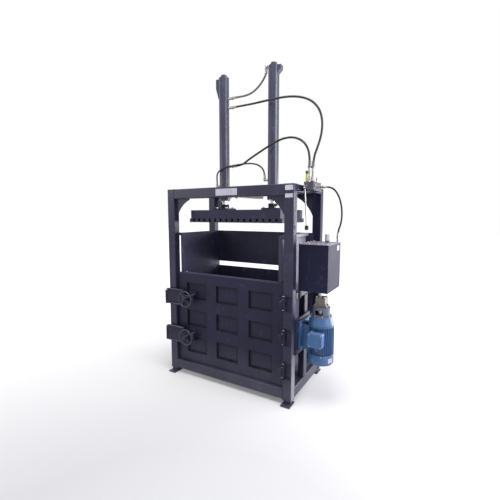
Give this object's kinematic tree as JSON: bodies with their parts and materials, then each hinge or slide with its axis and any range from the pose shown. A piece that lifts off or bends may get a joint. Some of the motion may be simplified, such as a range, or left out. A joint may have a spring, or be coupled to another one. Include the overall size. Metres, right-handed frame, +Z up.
{
  "type": "recycling baler",
  "caption": "Upright hydraulic baler: box-section frame, side-hung door with handwheel latches, pressing plate on upright cylinders, side-mounted oil tank, pump and motor.",
  "frame": {"origin": "on the floor, at the centre of the four anchor holes in the feet", "axes": "+Z up; +Y from the door side to the back; +X to the right as seen from the door side"},
  "size_m": [1.838, 0.948, 3.228],
  "materials": {
    "frame_paint": "satin",
    "chamber_paint": "satin, scuffed",
    "platen_paint": "satin",
    "door_paint": "satin",
    "wheel_paint": "satin",
    "bright_steel": "machined",
    "rod_chrome": "polished",
    "cylinder_paint": "satin",
    "gland_steel": "machined",
    "tank_paint": "satin",
    "lid_paint": "satin",
    "cap_plastic": "matte",
    "valve_iron": "cast",
    "relief_paint": "satin",
    "lever_steel": "bright",
    "knob_plastic": "gloss",
    "fitting_steel": "plated",
    "pump_alloy": "cast",
    "bell_paint": "satin",
    "motor_paint": "satin",
    "fan_plastic": "matte",
    "blank_plate": "satin",
    "hose_rubber": "matte",
    "link_rubber": "matte"
  },
  "bodies": {
    "frame": {"front_left_column": "frame_paint", "front_right_column": "frame_paint", "rear_left_column": "frame_paint", "rear_right_column": "frame_paint", "top_beams": "frame_paint", "base_beams": "frame_paint", "corner_gussets": "frame_paint", "cylinder_bearers": "frame_paint", "side_rails": "frame_paint", "feet": "frame_paint", "side_walls": "chamber_paint", "back_walls": "chamber_paint", "chamber_floor": "chamber_paint", "frame_hinge_leaves": "door_paint", "hinge_pins": "bright_steel", "latch_keepers": "door_paint", "left_cylinder_barrel": "cylinder_paint", "right_cylinder_barrel": "cylinder_paint", "cylinder_glands": "gland_steel", "cylinder_mount_plates": "cylinder_paint", "frame_bolts": "bright_steel", "oil_tank": "tank_paint", "tank_lid": "lid_paint", "valve_shelf": "frame_paint", "valve_body": "valve_iron", "relief_valve": "relief_paint", "hose_fittings": "fitting_steel", "hydraulic_pump": "pump_alloy", "bell_housing": "bell_paint", "motor_mount_plate": "frame_paint", "motor_body": "motor_paint", "fan_cover": "motor_paint", "terminal_box": "motor_paint", "blank_plates": "blank_plate", "cap_link_hose": "link_rubber", "cap_supply_hose": "hose_rubber", "rod_supply_hose": "hose_rubber", "rod_link_hose": "hose_rubber", "return_hose": "hose_rubber"},
    "platen": {"platen_plate": "platen_paint", "platen_bars": "platen_paint", "rod_flanges": "platen_paint", "rod_flange_bolts": "bright_steel", "piston_rods": "rod_chrome", "pistons": "bright_steel"},
    "door": {"door_panel": "door_paint", "door_liner": "door_paint", "door_lattice": "door_paint", "latch_brackets": "door_paint", "door_hinge_leaves": "door_paint"},
    "upper_arm": {"upper_latch_arm": "door_paint"},
    "lower_arm": {"lower_latch_arm": "door_paint"},
    "upper_wheel": {"upper_latch_wheel": "wheel_paint"},
    "lower_wheel": {"lower_latch_wheel": "wheel_paint"},
    "hand_lever": {"valve_lever": "lever_steel", "lever_knob": "knob_plastic"},
    "spool": {"valve_spool": "bright_steel"},
    "rotor": {"motor_shaft": "bright_steel", "motor_fan": "fan_plastic"},
    "breather": {"filler_cap": "cap_plastic"}
  },
  "joints": [
    {"name": "press", "type": "slide", "parent": "frame", "child": "platen", "axis": [0, 0, -1], "range_m": [0, 1]},
    {"name": "door_hinge", "type": "hinge", "parent": "frame", "child": "door", "pos_m": [0.65, -0.425, 0.636], "axis": [0, 0, 1], "range_deg": [0, 110]},
    {"name": "upper_latch", "type": "hinge", "parent": "door", "child": "upper_arm", "pos_m": [-0.4, -0.416, 0.86], "axis": [0, 0, 1], "range_deg": [0, 80]},
    {"name": "lower_latch", "type": "hinge", "parent": "door", "child": "lower_arm", "pos_m": [-0.4, -0.416, 0.45], "axis": [0, 0, 1], "range_deg": [0, 80]},
    {"name": "upper_wheel_turn", "type": "hinge", "parent": "upper_arm", "child": "upper_wheel", "pos_m": [-0.45, -0.466, 0.86], "axis": [0, 1, 0], "continuous": true},
    {"name": "lower_wheel_turn", "type": "hinge", "parent": "lower_arm", "child": "lower_wheel", "pos_m": [-0.45, -0.466, 0.45], "axis": [0, 1, 0], "continuous": true},
    {"name": "lever_swing", "type": "hinge", "parent": "frame", "child": "hand_lever", "pos_m": [0.768, -0.262, 1.968], "axis": [1, 0, 0], "range_deg": [-20, 20], "stiffness_Nm_per_rad": 4},
    {"name": "spool_travel", "type": "slide", "parent": "frame", "child": "spool", "axis": [0, 1, 0], "range_m": [-0.0077, 0.0077]},
    {"name": "rotor_spin", "type": "hinge", "parent": "frame", "child": "rotor", "pos_m": [0.912, -0.165, 0.5], "axis": [0, 0, 1], "continuous": true},
    {"name": "cap_lift", "type": "slide", "parent": "frame", "child": "breather", "axis": [0, 0, 1], "range_m": [0, 0.05]}
  ],
  "couplings": [
    {"joint": "spool_travel", "follows": "lever_swing", "m_per_rad": -0.0216}
  ]
}
